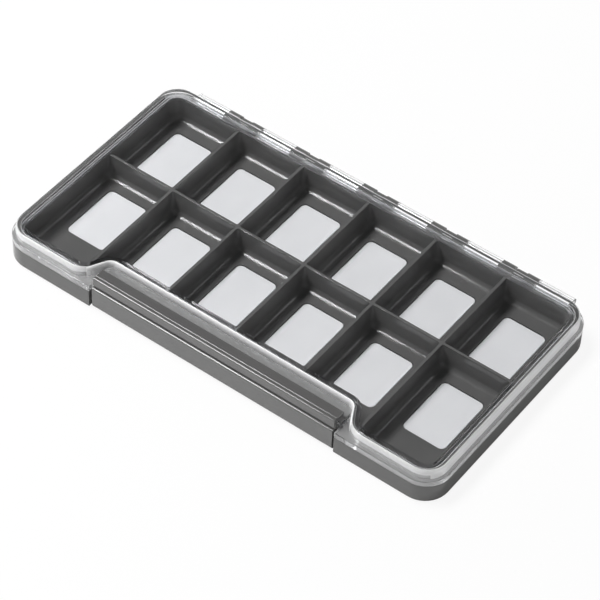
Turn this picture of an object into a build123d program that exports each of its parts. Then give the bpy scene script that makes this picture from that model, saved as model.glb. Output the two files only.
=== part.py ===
from build123d import *
from math import cos, radians, sin, sqrt
import os

# A slim waterproof fly box: a moulded tray of twelve compartments under a hinged clear lid.
#
# Millimetres, +Z up.  The origin is the centre of the tray's flat underside, X runs along the box,
# the hinge is at the back (+Y) and the latch bar is at the front (-Y).

# ------------------------------------------------------------------ driving dimensions
# Compartments
COLUMNS = 6                    # compartments along the box
CELL_PITCH = 30.0              # from one cross divider to the next
BACK_CELL_LENGTH = 38.9        # clear length of a compartment in the back row
FRONT_CELL_LENGTH = 49.8       # clear length of an end compartment in the front row
DIVIDER = 1.2                  # thickness of the dividers
FLOOR_FILLET = 2.3             # round between a compartment's floor and its walls

# Tray
RIM = 4.9                      # from a compartment's outer wall to the side of the tray
WALL = 1.4                     # thickness of the upstanding sealing wall
CORNER_RADIUS = 10.0           # corners of the box, seen from above
FLOOR_Z = 1.7                  # top of the compartment floors
SHOULDER_Z = 8.4               # top of the tray's outer side, which carries the lid
WALL_TOP_Z = 11.7              # top of the sealing wall and the dividers
BOTTOM_EDGE = 0.9              # bevel on the outer bottom edge
SHOULDER_EDGE = 0.5            # bevel on the outer edge of the shoulder

# Step that takes the sealing wall inboard behind the latch
LATCH_SETBACK = 9.9            # how far the wall steps back
STEP_START = 51.1              # half length of the straight wall behind the latch
STEP_ANGLE = 62.0              # turn of both bends of the step
STEP_BEND_IN = 6.0             # radius of the bend next to the latch
STEP_BEND_OUT = 4.5            # radius of the bend next to the front corner
CHANNEL_WALL = 1.5             # low wall in front of the drip channel

# Magnetic pads
PAD_WIDTH = 17.4
PAD_LENGTH = 25.8
PAD_CORNER = 1.2               # bevel on a pad's corners
PAD_THICKNESS = 0.7
PAD_RECESS = 0.25              # the pad's face lies this far below the floor
PAD_CLEARANCE = 0.3            # gap round a pad in its pocket
PAD_FROM_DIVIDER = 6.0         # from the long divider's face to the near edge of a pad

# Lid
HEIGHT = 15.0                  # top of the lid and of the latch
LID_GAP = 0.15                 # between the shoulder and the closed lid
LID_PLATE = 1.3                # thickness of the top plate
LID_CLEARANCE = 0.25           # between the sealing wall and the inside of the lid
FLANGE_TOP_Z = 10.9            # top of the flange round the foot of the skirt
FLANGE_STEP = 0.9              # how far the skirt stands back above the flange
LID_TOP_EDGE = 0.8             # bevel on the lid's upper edge
LID_FACE = 2.95                # from the sealing wall's inner face to the lid's face behind the latch
RECESS_HALF = 53.9             # half length of the recess for the latch
LEDGE_DEPTH = 3.6              # the lid's ledge starts this far behind the front of the box
LEDGE_TOP_Z = 12.2             # top of the ledge that the latch hooks over
LEDGE_WALL = 1.6               # thickness of the ledge and of its front
LEDGE_BEAD_WIDTH = 0.8
LEDGE_BEAD_HEIGHT = 0.55

# Seal and the rib that holds it
SEAL_INSIDE = 0.4              # how far the seal reaches past the wall's inner face
SEAL_OUTSIDE = 0.05            # how far it reaches past the wall's outer face
SEAL_GAP = 0.15                # between the wall and the closed seal
RIB = 0.7                      # thickness of the rib beside the seal
RIB_HEIGHT = 0.7
RIB_CLEARANCE = 0.1

# Hinge
HINGE_OFFSET = 2.6             # hinge axis behind the back of the tray
HINGE_Z = 8.6
KNUCKLE_RADIUS = 2.0
PIN_RADIUS = 0.8
PIN_RUNNING = 0.05             # radial clearance of a pin in a part that turns on it
EAR_GROUPS = 5
EAR_PITCH = 31.0               # from one group of tray ears to the next
EAR_GROUP_WIDTH = 15.3
EAR_WIDTH = 5.1
BAR_RADIUS = 1.65              # bar between the two ears of a group
BAR_SLOT = 0.9                 # slot between the bar and the left ear
KNUCKLE_GAP = 0.25             # side clearance between lid knuckles and tray ears
END_KNUCKLE_WIDTH = 14.6
PIN_INSET = 5.5                # the pin's ends lie this far inside the end knuckles
EAR_FOOT = 2.2                 # height of the web under a tray ear
NOTCH_FLOOR_Z = 5.5            # floor of the notches that clear the lid's knuckles
KNUCKLE_ROOT = 1.8             # how far a lid knuckle reaches in under the skirt
KNUCKLE_FOOT_Z = 5.8           # underside of a lid knuckle's root

# Latch
LATCH_END_GAP = 1.0            # between the latch and each end of its recess
LATCH_INSET = 0.4              # the latch's face lies behind the tray's face
LATCH_WALL = 1.8
LATCH_STEP = 0.9               # the upper face stands behind the lower one
LATCH_STEP_Z = 10.9            # top of the finger ledge
LATCH_PLATE = 1.9              # thickness of the plate over the lid's ledge
LATCH_REACH = 5.7              # length of that plate
LATCH_BEAD = 0.6               # depth of the bead under the plate's back edge
LATCH_BEAD_WIDTH = 1.0
LATCH_GROOVE = 0.4             # undercut above the finger ledge
LATCH_LINE = 0.3               # fine line along the top plate
LATCH_LINE_DEPTH = 0.15
LATCH_LINE_INSET = 1.6         # the line's place behind the upper face
LATCH_EDGE = 0.45              # round on the latch's long edges
PIVOT_Z = 2.35
BARREL_RADIUS = 2.1
LATCH_PIN_RADIUS = 0.8
LATCH_PIN_HOLD = 4.0           # length of a latch pin in the tray
LATCH_PIN_REACH = 5.0          # length of a latch pin in the latch
PIN_END_GAP = 0.3              # between the end of a latch pin and its blind bore

# ------------------------------------------------------------------ derived places
LENGTH = COLUMNS * CELL_PITCH + 2 * RIM
DEPTH = BACK_CELL_LENGTH + DIVIDER + FRONT_CELL_LENGTH + 2 * RIM
FRONT_Y = -DEPTH / 2
BACK_Y = DEPTH / 2
INNER_X = LENGTH / 2 - RIM
INNER_FRONT_Y = FRONT_Y + RIM
INNER_BACK_Y = BACK_Y - RIM
DIVIDER_Y = INNER_BACK_Y - BACK_CELL_LENGTH - DIVIDER / 2
INNER_RADIUS = CORNER_RADIUS - RIM
LATCH_WALL_Y = INNER_FRONT_Y + LATCH_SETBACK

POCKET_Z = FLOOR_Z - PAD_RECESS - PAD_THICKNESS
POCKET_CORNER = PAD_CORNER + PAD_CLEARANCE * (2 - sqrt(2))
PAD_OFFSET = DIVIDER / 2 + PAD_FROM_DIVIDER + PAD_LENGTH / 2

LID_Z = SHOULDER_Z + LID_GAP
CEILING_Z = HEIGHT - LID_PLATE
LEDGE_Y = FRONT_Y + LEDGE_DEPTH
LEDGE_UNDER_Z = LEDGE_TOP_Z - LEDGE_WALL
SEAL_Z = WALL_TOP_Z + SEAL_GAP
SEAL_IN = -SEAL_INSIDE
SEAL_OUT = WALL + SEAL_OUTSIDE

HINGE_Y = BACK_Y + HINGE_OFFSET
GROUP_X = [(i - (EAR_GROUPS - 1) / 2) * EAR_PITCH for i in range(EAR_GROUPS)]
EAR_SHIFT = (EAR_GROUP_WIDTH - EAR_WIDTH) / 2
EAR_X = [x + side * EAR_SHIFT for x in GROUP_X for side in (-1, 1)]
LAST_EAR = GROUP_X[-1] + EAR_GROUP_WIDTH / 2
KNUCKLE_WIDTH = EAR_PITCH - EAR_GROUP_WIDTH - 2 * KNUCKLE_GAP
KNUCKLES = [((a + b) / 2, KNUCKLE_WIDTH) for a, b in zip(GROUP_X, GROUP_X[1:])]
END_KNUCKLE_X = LAST_EAR + KNUCKLE_GAP + END_KNUCKLE_WIDTH / 2
KNUCKLES += [(-END_KNUCKLE_X, END_KNUCKLE_WIDTH), (END_KNUCKLE_X, END_KNUCKLE_WIDTH)]
PIN_LENGTH = 2 * (END_KNUCKLE_X + END_KNUCKLE_WIDTH / 2 - PIN_INSET)

LATCH_HALF = RECESS_HALF - LATCH_END_GAP
LATCH_FACE_Y = FRONT_Y + LATCH_INSET
LATCH_UPPER_Y = LATCH_FACE_Y + LATCH_STEP
PIVOT_Y = LATCH_FACE_Y + BARREL_RADIUS
PLATE_BACK_Y = LATCH_UPPER_Y + LATCH_REACH
PLATE_UNDER_Z = HEIGHT - LATCH_PLATE


def box_plan(inset: float) -> Sketch:
    """Plan of the box's outside with every side moved in by `inset`."""
    with BuildSketch() as plan:
        RectangleRounded(LENGTH - 2 * inset, DEPTH - 2 * inset, CORNER_RADIUS - inset)
    return plan.sketch


def stepped_plan(grow: float, sides: float) -> Sketch:
    """Plan whose front steps inboard behind the latch through two bends.

    Its stretch behind the latch lies `grow` outside the sealing wall's inner face, and the rest of
    it lies `sides` outside that face.
    """
    side = INNER_X + sides
    back = INNER_BACK_Y + sides
    front = INNER_FRONT_Y - sides
    corner = INNER_RADIUS + sides
    middle_y = LATCH_WALL_Y - grow
    turn = radians(STEP_ANGLE)
    inner_bend = STEP_BEND_IN - grow
    outer_bend = STEP_BEND_OUT + sides
    run = (middle_y - front - (inner_bend + outer_bend) * (1 - cos(turn))) / sin(turn)
    with BuildSketch() as plan:
        with BuildLine():
            middle = Line((0, middle_y), (STEP_START, middle_y))
            bend_in = JernArc(middle @ 1, middle % 1, inner_bend, -STEP_ANGLE)
            slope = Line(bend_in @ 1, bend_in @ 1 + run * (bend_in % 1))
            bend_out = JernArc(slope @ 1, slope % 1, outer_bend, STEP_ANGLE)
            flank = Line(bend_out @ 1, (side - corner, front))
            front_corner = JernArc(flank @ 1, flank % 1, corner, 90)
            end = Line(front_corner @ 1, (side, back - corner))
            back_corner = JernArc(end @ 1, end % 1, corner, 90)
            Line(back_corner @ 1, (0, back))
            mirror(about=Plane.YZ)
        make_face()
    return plan.sketch


def sealing_plan(grow: float) -> Sketch:
    """Plan of the sealing wall's inner face, grown outwards by `grow`."""
    return stepped_plan(grow, grow)


def divider_profile() -> Sketch:
    """Upright section of a divider, whose foot flares out into the floor on both sides."""
    foot = DIVIDER / 2 + FLOOR_FILLET
    with BuildSketch() as profile:
        Rectangle(2 * foot, FLOOR_FILLET, align=(Align.CENTER, Align.MIN))
        with Locations((-foot, FLOOR_FILLET), (foot, FLOOR_FILLET)):
            Circle(FLOOR_FILLET, mode=Mode.SUBTRACT)
        Rectangle(DIVIDER, WALL_TOP_Z - FLOOR_Z, align=(Align.CENTER, Align.MIN))
    return profile.sketch


def knuckle_profile(bore: float, points: list) -> Sketch:
    """Ring round the hinge axis joined to the web outlined by `points`, drawn in Y and Z."""
    with BuildSketch() as profile:
        with BuildLine():
            Polyline(*points, close=True)
        make_face()
        with Locations((HINGE_Y, HINGE_Z)):
            Circle(KNUCKLE_RADIUS)
            Circle(bore, mode=Mode.SUBTRACT)
    return profile.sketch


CELLS = [(column, row) for row in (0, 1) for column in range(COLUMNS)]
PAD_PLACES = {
    cell: ((cell[0] + 0.5 - COLUMNS / 2) * CELL_PITCH, DIVIDER_Y + (PAD_OFFSET if cell[1] else -PAD_OFFSET))
    for cell in CELLS
}

# ------------------------------------------------------------------ dividers
# The long divider and the cross dividers as one grid, trimmed to end inside the sealing wall.
with BuildPart() as dividers:
    with BuildSketch(Plane.YZ.offset(-LENGTH / 2)):
        with Locations((DIVIDER_Y, FLOOR_Z)):
            add(divider_profile())
    extrude(amount=LENGTH)
    for column in range(1, COLUMNS):
        with BuildSketch(Plane.XZ.offset(-FRONT_Y)):
            with Locations(((column - COLUMNS / 2) * CELL_PITCH, FLOOR_Z)):
                add(divider_profile())
        extrude(amount=-DEPTH)
    with BuildSketch(Plane.XY.offset(FLOOR_Z)):
        add(sealing_plan(WALL / 2))
    extrude(amount=WALL_TOP_Z - FLOOR_Z, mode=Mode.INTERSECT)

# ------------------------------------------------------------------ well
# The space inside the sealing wall, with a round where the floor meets the wall.
with BuildPart() as well:
    with BuildSketch(Plane.XY.offset(FLOOR_Z)):
        add(sealing_plan(0))
    extrude(amount=WALL_TOP_Z - FLOOR_Z)
    fillet(well.faces().sort_by(Axis.Z)[0].edges(), FLOOR_FILLET)

# ------------------------------------------------------------------ tray
# One moulding: the outer side with its shoulder, the sealing wall that stands above it, the
# dividers between the compartments, and the ears of the hinge.
with BuildPart() as base_tray:
    with BuildSketch():
        add(box_plan(0))
        with Locations((0, FRONT_Y)):
            Rectangle(2 * RECESS_HALF, 2 * RIM, mode=Mode.SUBTRACT)
    extrude(amount=SHOULDER_Z)
    outer = base_tray.edges().filter_by(lambda e: e.length > DIVIDER)
    chamfer(outer.group_by(Axis.Z)[0], BOTTOM_EDGE)
    chamfer(base_tray.faces().sort_by(Axis.Z)[-1].outer_wire().edges(), SHOULDER_EDGE)

    # Drip channel between the stepped wall and the low wall behind the latch
    with BuildSketch(Plane.XY.offset(FLOOR_Z)):
        with Locations((0, INNER_FRONT_Y + CHANNEL_WALL)):
            Rectangle(2 * RECESS_HALF, LATCH_SETBACK, align=(Align.CENTER, Align.MIN))
        add(sealing_plan(WALL), mode=Mode.SUBTRACT)
    extrude(amount=HEIGHT, mode=Mode.SUBTRACT)

    # Sealing wall round the well that the dividers stand in
    with BuildSketch(Plane.XY.offset(FLOOR_Z)):
        add(sealing_plan(WALL))
    extrude(amount=WALL_TOP_Z - FLOOR_Z)
    add(well.part, mode=Mode.SUBTRACT)
    add(dividers.part)

    # Pockets for the magnetic pads
    for x, y in PAD_PLACES.values():
        with BuildSketch(Plane.XY.offset(POCKET_Z)) as pocket:
            with Locations((x, y)):
                Rectangle(PAD_WIDTH + 2 * PAD_CLEARANCE, PAD_LENGTH + 2 * PAD_CLEARANCE)
            chamfer(pocket.vertices(), POCKET_CORNER)
        extrude(amount=FLOOR_Z, mode=Mode.SUBTRACT)

    # Notches in the back rim that clear the lid's knuckles
    for x, width in KNUCKLES:
        with BuildSketch(Plane.XY.offset(NOTCH_FLOOR_Z)):
            with Locations((x, INNER_BACK_Y + WALL)):
                Rectangle(width + 2 * KNUCKLE_GAP, RIM, align=(Align.CENTER, Align.MIN))
        extrude(amount=SHOULDER_Z, mode=Mode.SUBTRACT)

    # Hinge ears in pairs
    ear_web = [
        (BACK_Y - WALL, SHOULDER_Z - SHOULDER_EDGE),
        (HINGE_Y, SHOULDER_Z - SHOULDER_EDGE),
        (HINGE_Y, HINGE_Z - KNUCKLE_RADIUS),
        (BACK_Y, HINGE_Z - KNUCKLE_RADIUS - EAR_FOOT),
        (BACK_Y - WALL, HINGE_Z - KNUCKLE_RADIUS - EAR_FOOT),
    ]
    for x in EAR_X:
        with BuildSketch(Plane.YZ.offset(x - EAR_WIDTH / 2)):
            add(knuckle_profile(PIN_RADIUS, ear_web))
        extrude(amount=EAR_WIDTH)

    # Bar round the pin between the ears of each pair, one with the right ear
    for x in GROUP_X:
        with BuildSketch(Plane.YZ.offset(x - EAR_GROUP_WIDTH / 2 + EAR_WIDTH + BAR_SLOT)):
            with Locations((HINGE_Y, HINGE_Z)):
                Circle(BAR_RADIUS)
                Circle(PIN_RADIUS, mode=Mode.SUBTRACT)
        extrude(amount=EAR_GROUP_WIDTH - 2 * EAR_WIDTH - BAR_SLOT)

    # Blind bores for the latch pins
    for side in (-1, 1):
        with BuildSketch(Plane.YZ.offset(side * RECESS_HALF)):
            with Locations((PIVOT_Y, PIVOT_Z)):
                Circle(LATCH_PIN_RADIUS)
        extrude(amount=side * LATCH_PIN_HOLD, mode=Mode.SUBTRACT)

base_tray.part.label = "base_tray"

# ------------------------------------------------------------------ lid
# One clear moulding: a raised top that steps inboard behind the latch like the sealing wall, a
# flange round its foot, the ledge for the latch, a rib that holds the seal, and the hinge's knuckles.
with BuildPart() as lid:
    with BuildSketch(Plane.XY.offset(LID_Z)):
        add(box_plan(0))
    extrude(amount=FLANGE_TOP_Z - LID_Z)
    with BuildSketch(Plane.XY.offset(FLANGE_TOP_Z)):
        add(stepped_plan(LID_FACE, RIM - FLANGE_STEP))
    extrude(amount=HEIGHT - FLANGE_TOP_Z)
    chamfer(lid.faces().sort_by(Axis.Z)[-1].edges(), LID_TOP_EDGE)

    # Ledge behind the latch, open in front for the latch's whole height
    with BuildSketch(Plane.XY.offset(LEDGE_UNDER_Z)):
        with Locations((0, LEDGE_Y)):
            Rectangle(2 * RECESS_HALF, LATCH_WALL_Y - LEDGE_Y, align=(Align.CENTER, Align.MIN))
    extrude(amount=LEDGE_TOP_Z - LEDGE_UNDER_Z)
    with BuildSketch(Plane.XY.offset(LID_Z)):
        with Locations((0, LEDGE_Y)):
            Rectangle(2 * RECESS_HALF, RIM, align=(Align.CENTER, Align.MAX))
    extrude(amount=HEIGHT - LID_Z, mode=Mode.SUBTRACT)

    # Inside of the lid, a sleeve round the sealing wall, and the hollow under the ledge
    with BuildSketch(Plane.XY.offset(LID_Z)):
        add(sealing_plan(WALL + LID_CLEARANCE))
    extrude(amount=CEILING_Z - LID_Z, mode=Mode.SUBTRACT)
    with BuildSketch(Plane.XY.offset(LID_Z)):
        with Locations((0, LEDGE_Y + LEDGE_WALL)):
            Rectangle(
                2 * RECESS_HALF, LATCH_WALL_Y - LEDGE_Y - LEDGE_WALL, align=(Align.CENTER, Align.MIN)
            )
    extrude(amount=LEDGE_UNDER_Z - LID_Z, mode=Mode.SUBTRACT)

    # Bead along the front of the ledge, which the latch hooks behind
    with BuildSketch(Plane.YZ.offset(-LATCH_HALF)):
        with Locations((LEDGE_Y, LEDGE_TOP_Z - LEDGE_BEAD_WIDTH)):
            Rectangle(
                LEDGE_BEAD_WIDTH, LEDGE_BEAD_WIDTH + LEDGE_BEAD_HEIGHT, align=(Align.MIN, Align.MIN)
            )
    extrude(amount=2 * LATCH_HALF)

    # Rib along the inside of the seal
    with BuildSketch(Plane.XY.offset(CEILING_Z - RIB_HEIGHT)):
        add(sealing_plan(SEAL_IN - RIB_CLEARANCE))
        add(sealing_plan(SEAL_IN - RIB_CLEARANCE - RIB), mode=Mode.SUBTRACT)
    extrude(amount=RIB_HEIGHT)

    # Hinge knuckles, each with a root that drops into a notch of the tray
    knuckle_web = [
        (BACK_Y - KNUCKLE_ROOT, KNUCKLE_FOOT_Z),
        (BACK_Y, KNUCKLE_FOOT_Z),
        (HINGE_Y, HINGE_Z - KNUCKLE_RADIUS),
        (HINGE_Y, HINGE_Z + KNUCKLE_RADIUS),
        (BACK_Y - KNUCKLE_ROOT, HINGE_Z + KNUCKLE_RADIUS),
    ]
    for x, width in KNUCKLES:
        with BuildSketch(Plane.YZ.offset(x - width / 2)):
            add(knuckle_profile(PIN_RADIUS + PIN_RUNNING, knuckle_web))
        extrude(amount=width)

lid.part.label = "lid"

# ------------------------------------------------------------------ seal
with BuildPart() as lid_seal:
    with BuildSketch(Plane.XY.offset(SEAL_Z)):
        add(sealing_plan(SEAL_OUT))
        add(sealing_plan(SEAL_IN), mode=Mode.SUBTRACT)
    extrude(amount=CEILING_Z - SEAL_Z)
lid_seal.part.label = "lid_seal"

# ------------------------------------------------------------------ latch
# A long bar of one section: a barrel at its foot, a face with a finger ledge, and a plate whose
# bead hooks behind the bead on the lid's ledge.
with BuildPart() as latch:
    with BuildSketch(Plane.YZ.offset(-LATCH_HALF)) as section:
        with BuildLine():
            Polyline(
                (LATCH_FACE_Y, PIVOT_Z),
                (LATCH_FACE_Y, LATCH_STEP_Z),
                (LATCH_UPPER_Y + LATCH_GROOVE, LATCH_STEP_Z),
                (LATCH_UPPER_Y + LATCH_GROOVE, LATCH_STEP_Z + LATCH_GROOVE),
                (LATCH_UPPER_Y, LATCH_STEP_Z + LATCH_GROOVE),
                (LATCH_UPPER_Y, HEIGHT),
                (PLATE_BACK_Y, HEIGHT),
                (PLATE_BACK_Y, PLATE_UNDER_Z - LATCH_BEAD),
                (PLATE_BACK_Y - LATCH_BEAD_WIDTH, PLATE_UNDER_Z - LATCH_BEAD),
                (PLATE_BACK_Y - LATCH_BEAD_WIDTH, PLATE_UNDER_Z),
                (LATCH_UPPER_Y + LATCH_WALL, PLATE_UNDER_Z),
                (LATCH_UPPER_Y + LATCH_WALL, LATCH_STEP_Z - LATCH_STEP),
                (LATCH_FACE_Y + LATCH_WALL, LATCH_STEP_Z - 2 * LATCH_STEP),
                (LATCH_FACE_Y + LATCH_WALL, PIVOT_Z),
                close=True,
            )
        make_face()
        with Locations((PIVOT_Y, PIVOT_Z)):
            Circle(BARREL_RADIUS)
        with Locations((LATCH_UPPER_Y + LATCH_LINE_INSET, HEIGHT)):
            Rectangle(LATCH_LINE, 2 * LATCH_LINE_DEPTH, mode=Mode.SUBTRACT)
        edges = [
            (LATCH_FACE_Y, LATCH_STEP_Z),
            (LATCH_UPPER_Y, HEIGHT),
            (PLATE_BACK_Y, HEIGHT),
            (PLATE_BACK_Y, PLATE_UNDER_Z - LATCH_BEAD),
            (PLATE_BACK_Y - LATCH_BEAD_WIDTH, PLATE_UNDER_Z - LATCH_BEAD),
        ]
        for y, z in edges:
            fillet(section.vertices().sort_by_distance((-LATCH_HALF, y, z))[0], LATCH_EDGE)
    extrude(amount=2 * LATCH_HALF)
    for side in (-1, 1):
        with BuildSketch(Plane.YZ.offset(side * LATCH_HALF)):
            with Locations((PIVOT_Y, PIVOT_Z)):
                Circle(LATCH_PIN_RADIUS + PIN_RUNNING)
        extrude(amount=-side * (LATCH_PIN_REACH + PIN_END_GAP), mode=Mode.SUBTRACT)
latch.part.label = "latch"

# ------------------------------------------------------------------ pins
with BuildPart() as lid_hinge_pin:
    with BuildSketch(Plane.YZ.offset(-PIN_LENGTH / 2)):
        with Locations((HINGE_Y, HINGE_Z)):
            Circle(PIN_RADIUS)
    extrude(amount=PIN_LENGTH)
lid_hinge_pin.part.label = "lid_hinge_pin"

PARTS = [base_tray, lid, lid_seal, latch, lid_hinge_pin]

for side, name in ((-1, "latch_pin_left"), (1, "latch_pin_right")):
    with BuildPart() as latch_pin:
        with BuildSketch(Plane.YZ.offset(side * (LATCH_HALF - LATCH_PIN_REACH))):
            with Locations((PIVOT_Y, PIVOT_Z)):
                Circle(LATCH_PIN_RADIUS)
        extrude(amount=side * (LATCH_PIN_REACH + LATCH_END_GAP + LATCH_PIN_HOLD))
    latch_pin.part.label = name
    PARTS.append(latch_pin)

# ------------------------------------------------------------------ magnetic pads
for (column, row), (x, y) in PAD_PLACES.items():
    with BuildPart() as pad:
        with BuildSketch(Plane.XY.offset(POCKET_Z)) as outline:
            with Locations((x, y)):
                Rectangle(PAD_WIDTH, PAD_LENGTH)
            chamfer(outline.vertices(), PAD_CORNER)
        extrude(amount=PAD_THICKNESS)
    pad.part.label = f"magnet_pad_{'back' if row else 'front'}_{column + 1}"
    PARTS.append(pad)

os.makedirs("parts", exist_ok=True)
for piece in PARTS:
    export_step(piece.part, f"parts/{piece.part.label}.step")
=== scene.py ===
"""A slim fly box: grey tray, magnetic pads, clear lid with its seal, long latch and steel pins.

Sizes are in millimetres in the part's own frame: the origin is the centre of the tray's flat
underside, X runs along the box, the hinge is at the back (+Y) and the latch at the front (-Y).
They become metres where a mesh is made.
"""

from __future__ import annotations

import logging
import math
from dataclasses import dataclass
from enum import Enum
from typing import Callable

import bmesh
import bpy
from mathutils import Matrix, Vector

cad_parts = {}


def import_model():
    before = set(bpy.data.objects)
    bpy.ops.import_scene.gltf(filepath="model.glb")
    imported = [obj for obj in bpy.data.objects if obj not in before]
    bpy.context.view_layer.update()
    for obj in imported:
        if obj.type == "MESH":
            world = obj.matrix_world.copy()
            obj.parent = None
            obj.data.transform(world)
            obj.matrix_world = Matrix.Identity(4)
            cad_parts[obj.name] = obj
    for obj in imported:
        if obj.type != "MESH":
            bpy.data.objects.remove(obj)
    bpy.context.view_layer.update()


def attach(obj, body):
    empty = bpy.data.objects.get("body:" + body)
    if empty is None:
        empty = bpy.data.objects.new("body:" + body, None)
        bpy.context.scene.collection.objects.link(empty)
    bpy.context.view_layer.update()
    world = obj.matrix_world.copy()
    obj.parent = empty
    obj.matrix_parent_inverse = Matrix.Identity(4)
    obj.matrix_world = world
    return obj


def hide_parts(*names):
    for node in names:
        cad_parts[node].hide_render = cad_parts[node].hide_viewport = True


MM = 0.001
LOG = logging.getLogger("fly_box")

CLEAR = 20.0  # height that lies above every piece, for tools that only have to clear it
OUTSIDE = 60.0  # distance from the middle that lies in front of every piece
SHARP = 60.0  # degrees: edges folded further than this get rounded
SMOOTH = 26.0  # degrees: edges folded less than this are shaded smooth
ALONG = 0.9  # cosine above which a direction lies along an axis
UPRIGHT = 0.3  # cosine to the vertical below which a face stands upright
WIRE_SIDES = 32  # flats round the wires and their bores
WHITE = (1.0, 1.0, 1.0, 1.0)

Pair = tuple[float, float]
Point = tuple[float, float, float]
Piece = bpy.types.Object
Socket = bpy.types.NodeSocket
Element = bmesh.types.BMVert | bmesh.types.BMEdge | bmesh.types.BMFace


class Pick(Enum):
    """What an edit-mode selection is made of."""

    POINT = "VERT"
    EDGE = "EDGE"
    FACE = "FACE"


class Join(Enum):
    """What a tool piece does to the piece it meets."""

    CUT = "DIFFERENCE"
    ADD = "UNION"
    KEEP = "INTERSECT"


class Body(Enum):
    """The rigid bodies of the box."""

    BASE = "base"
    LID = "lid"
    LATCH = "latch"


class Reckon(Enum):
    """How two values of a finish are combined."""

    LARGER = "MAXIMUM"
    TIMES = "MULTIPLY"


def middle(item: Element) -> Vector:
    """Find the middle of a point, edge or face in edit mode, in millimetres."""
    points = [item] if isinstance(item, bmesh.types.BMVert) else item.verts
    return sum((point.co for point in points), Vector()) / len(points) / MM


def close(a: float, b: float, reach: float = 0.02) -> bool:
    """Tell whether two sizes agree within `reach` millimetres."""
    return abs(a - b) < reach


def at(item: Element, x: float | None = None, y: float | None = None, z: float | None = None) -> bool:
    """Tell whether a mesh element lies at the places that are given.

    Args:
        item: A point, edge or face in edit mode, taken at its middle.
        x: Its distance from the middle of the box, to either side.
        y: Its place along Y.
        z: Its height.

    Returns:
        Whether it lies at each of them.
    """
    place = middle(item)
    wanted = ((abs(place.x), x), (place.y, y), (place.z, z))
    return all(want is None or close(have, want) for have, want in wanted)


def runs(edge: bmesh.types.BMEdge, axis: int) -> bool:
    """Tell whether an edge runs along an axis, where 0 is X and 2 is Z."""
    return abs((edge.verts[1].co - edge.verts[0].co).normalized()[axis]) > ALONG


def folded(edge: bmesh.types.BMEdge) -> bool:
    """Tell whether the two faces at an edge meet sharply."""
    return math.degrees(edge.calc_face_angle(0.0)) > SHARP


class Editing:
    """Edit mode on one piece, used in a with block."""

    def __init__(self, piece: Piece) -> None:
        """Remember the piece to shape."""
        self.piece = piece

    def __enter__(self) -> Editing:
        """Enter edit mode with nothing selected.

        Returns:
            The editing, for its calls.
        """
        Bench.take(self.piece)
        bpy.ops.object.mode_set(mode="EDIT")
        bpy.ops.mesh.select_all(action="DESELECT")
        return self

    def __exit__(self, *_: object) -> None:
        """Go back to object mode."""
        bpy.ops.object.mode_set(mode="OBJECT")

    def pick(self, kind: Pick, test: Callable[[Element], bool] = lambda item: True) -> int:
        """Select every element of a kind that passes a test, and nothing else.

        Args:
            kind: Points, edges or faces.
            test: Says whether an element is wanted; all are if it is left out.

        Returns:
            How many elements are selected.
        """
        bpy.ops.mesh.select_mode(type=kind.value)
        bpy.ops.mesh.select_all(action="DESELECT")
        mesh = bmesh.from_edit_mesh(self.piece.data)
        pools = {Pick.POINT: mesh.verts, Pick.EDGE: mesh.edges, Pick.FACE: mesh.faces}
        wanted = [item for item in pools[kind] if test(item)]
        for item in wanted:
            item.select_set(True)
        mesh.select_flush_mode()
        bmesh.update_edit_mesh(self.piece.data)
        return len(wanted)

    def extrude(self, by: Point) -> None:
        """Extrude the selection and move it by a distance in millimetres."""
        bpy.ops.mesh.extrude_region_move(TRANSFORM_OT_translate={"value": [part * MM for part in by]})

    def move(self, by: Point) -> None:
        """Move the selection by a distance in millimetres."""
        bpy.ops.transform.translate(value=[part * MM for part in by])

    def widen(self, by: Point) -> None:
        """Scale the selection about its middle."""
        bpy.ops.transform.resize(value=by)

    def bevel(self, radius: float, segments: int = 4, points: bool = False) -> None:
        """Round the selected edges, or the selected points of a flat sheet.

        Args:
            radius: Width of the round in millimetres.
            segments: Number of flats that make the round.
            points: Whether points are rounded in place of edges.
        """
        bpy.ops.mesh.bevel(
            offset_type="OFFSET",
            offset=radius * MM,
            segments=segments,
            profile=0.5,
            affect="VERTICES" if points else "EDGES",
            clamp_overlap=False,
        )

    def slice(self, through: Point, normal: Point) -> None:
        """Split the whole mesh along a plane through a point in millimetres."""
        bpy.ops.mesh.select_all(action="SELECT")
        bpy.ops.mesh.bisect(plane_co=[part * MM for part in through], plane_no=normal)

    def turn_faces_out(self) -> None:
        """Merge doubles and point every face outwards."""
        bpy.ops.mesh.select_all(action="SELECT")
        bpy.ops.mesh.remove_doubles(threshold=0.002 * MM)
        bpy.ops.mesh.normals_make_consistent(inside=False)


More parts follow.
